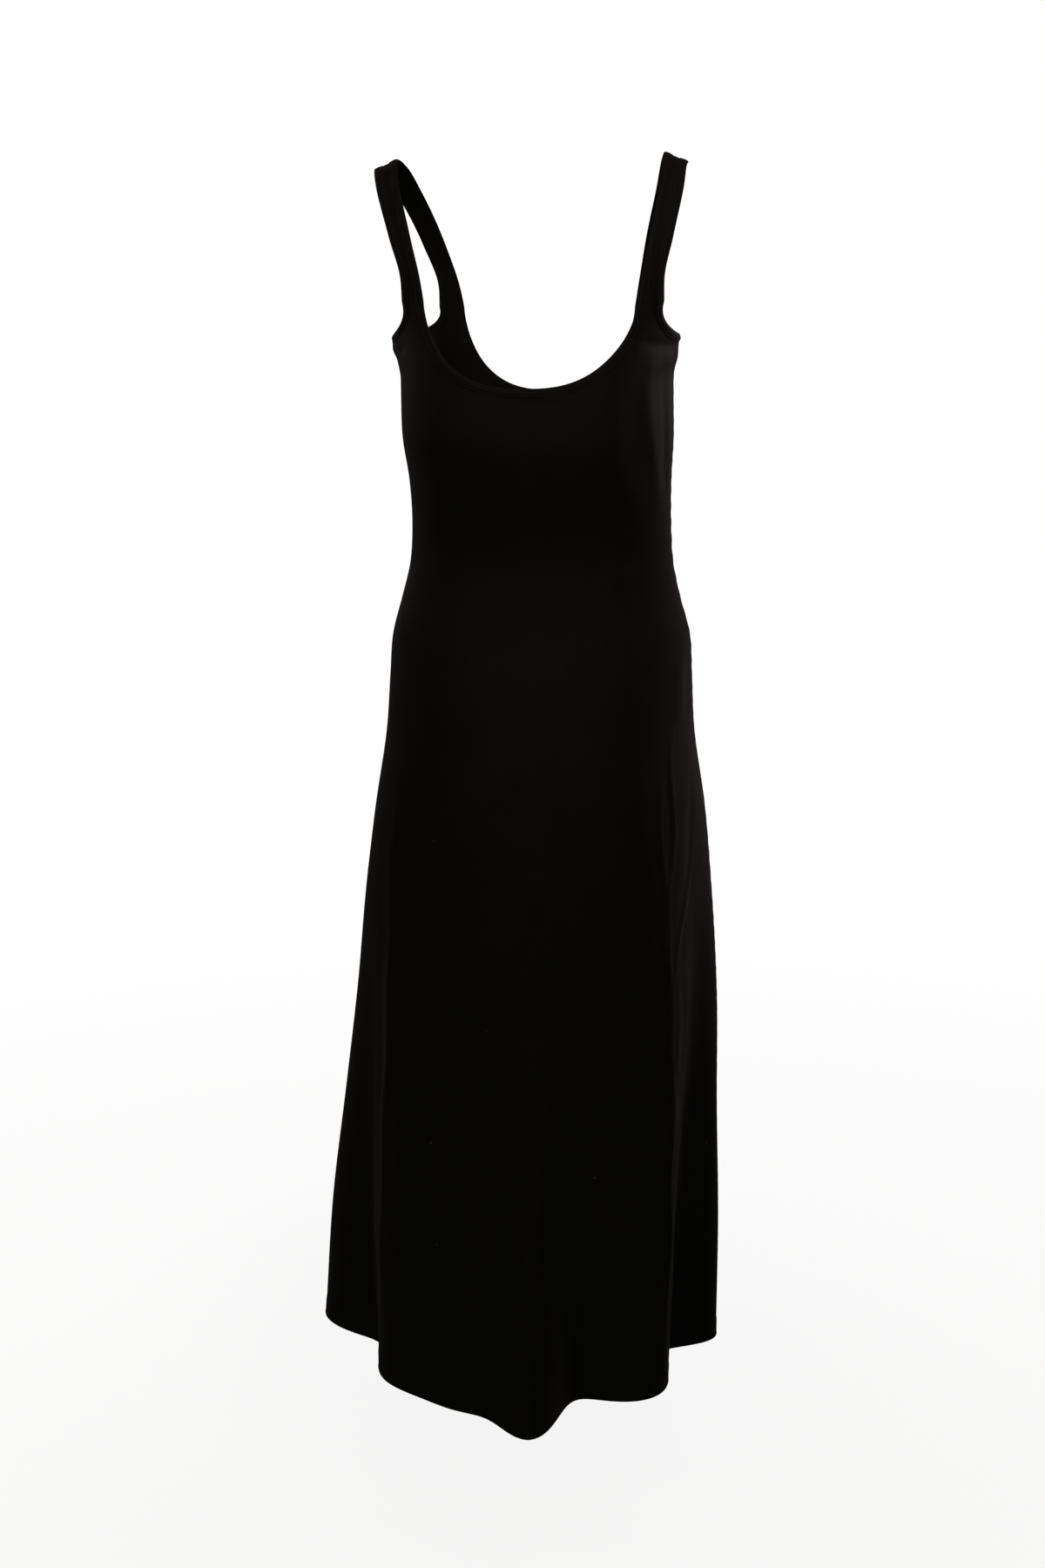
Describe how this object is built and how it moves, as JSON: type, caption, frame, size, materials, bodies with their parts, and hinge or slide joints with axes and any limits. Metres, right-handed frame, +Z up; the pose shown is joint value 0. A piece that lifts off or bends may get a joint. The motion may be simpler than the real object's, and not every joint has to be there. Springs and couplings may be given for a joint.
{
  "type": "wool midi dress",
  "caption": "Sleeveless black wool midi dress in its worn, hollow form: narrow straps, deep scooped neck, fitted waist and an A-line skirt falling in soft folds.",
  "frame": {"origin": "between the tops of the two straps, on the line over the shoulders where the wearer holds the dress up", "axes": "+Z up along the dress, -Y towards its front, +X towards the wearer's left"},
  "size_m": [0.437, 0.4958, 1.247],
  "materials": {
    "wool_cloth": "fine smooth black wool jersey, matte with a faint sheen",
    "binding_cloth": "the same cloth folded over the edge and stitched"
  },
  "bodies": {
    "root": {"front_panel": "wool_cloth", "back_panel": "wool_cloth", "neck_binding": "binding_cloth", "armhole_binding_left": "binding_cloth", "armhole_binding_right": "binding_cloth"}
  },
  "joints": []
}
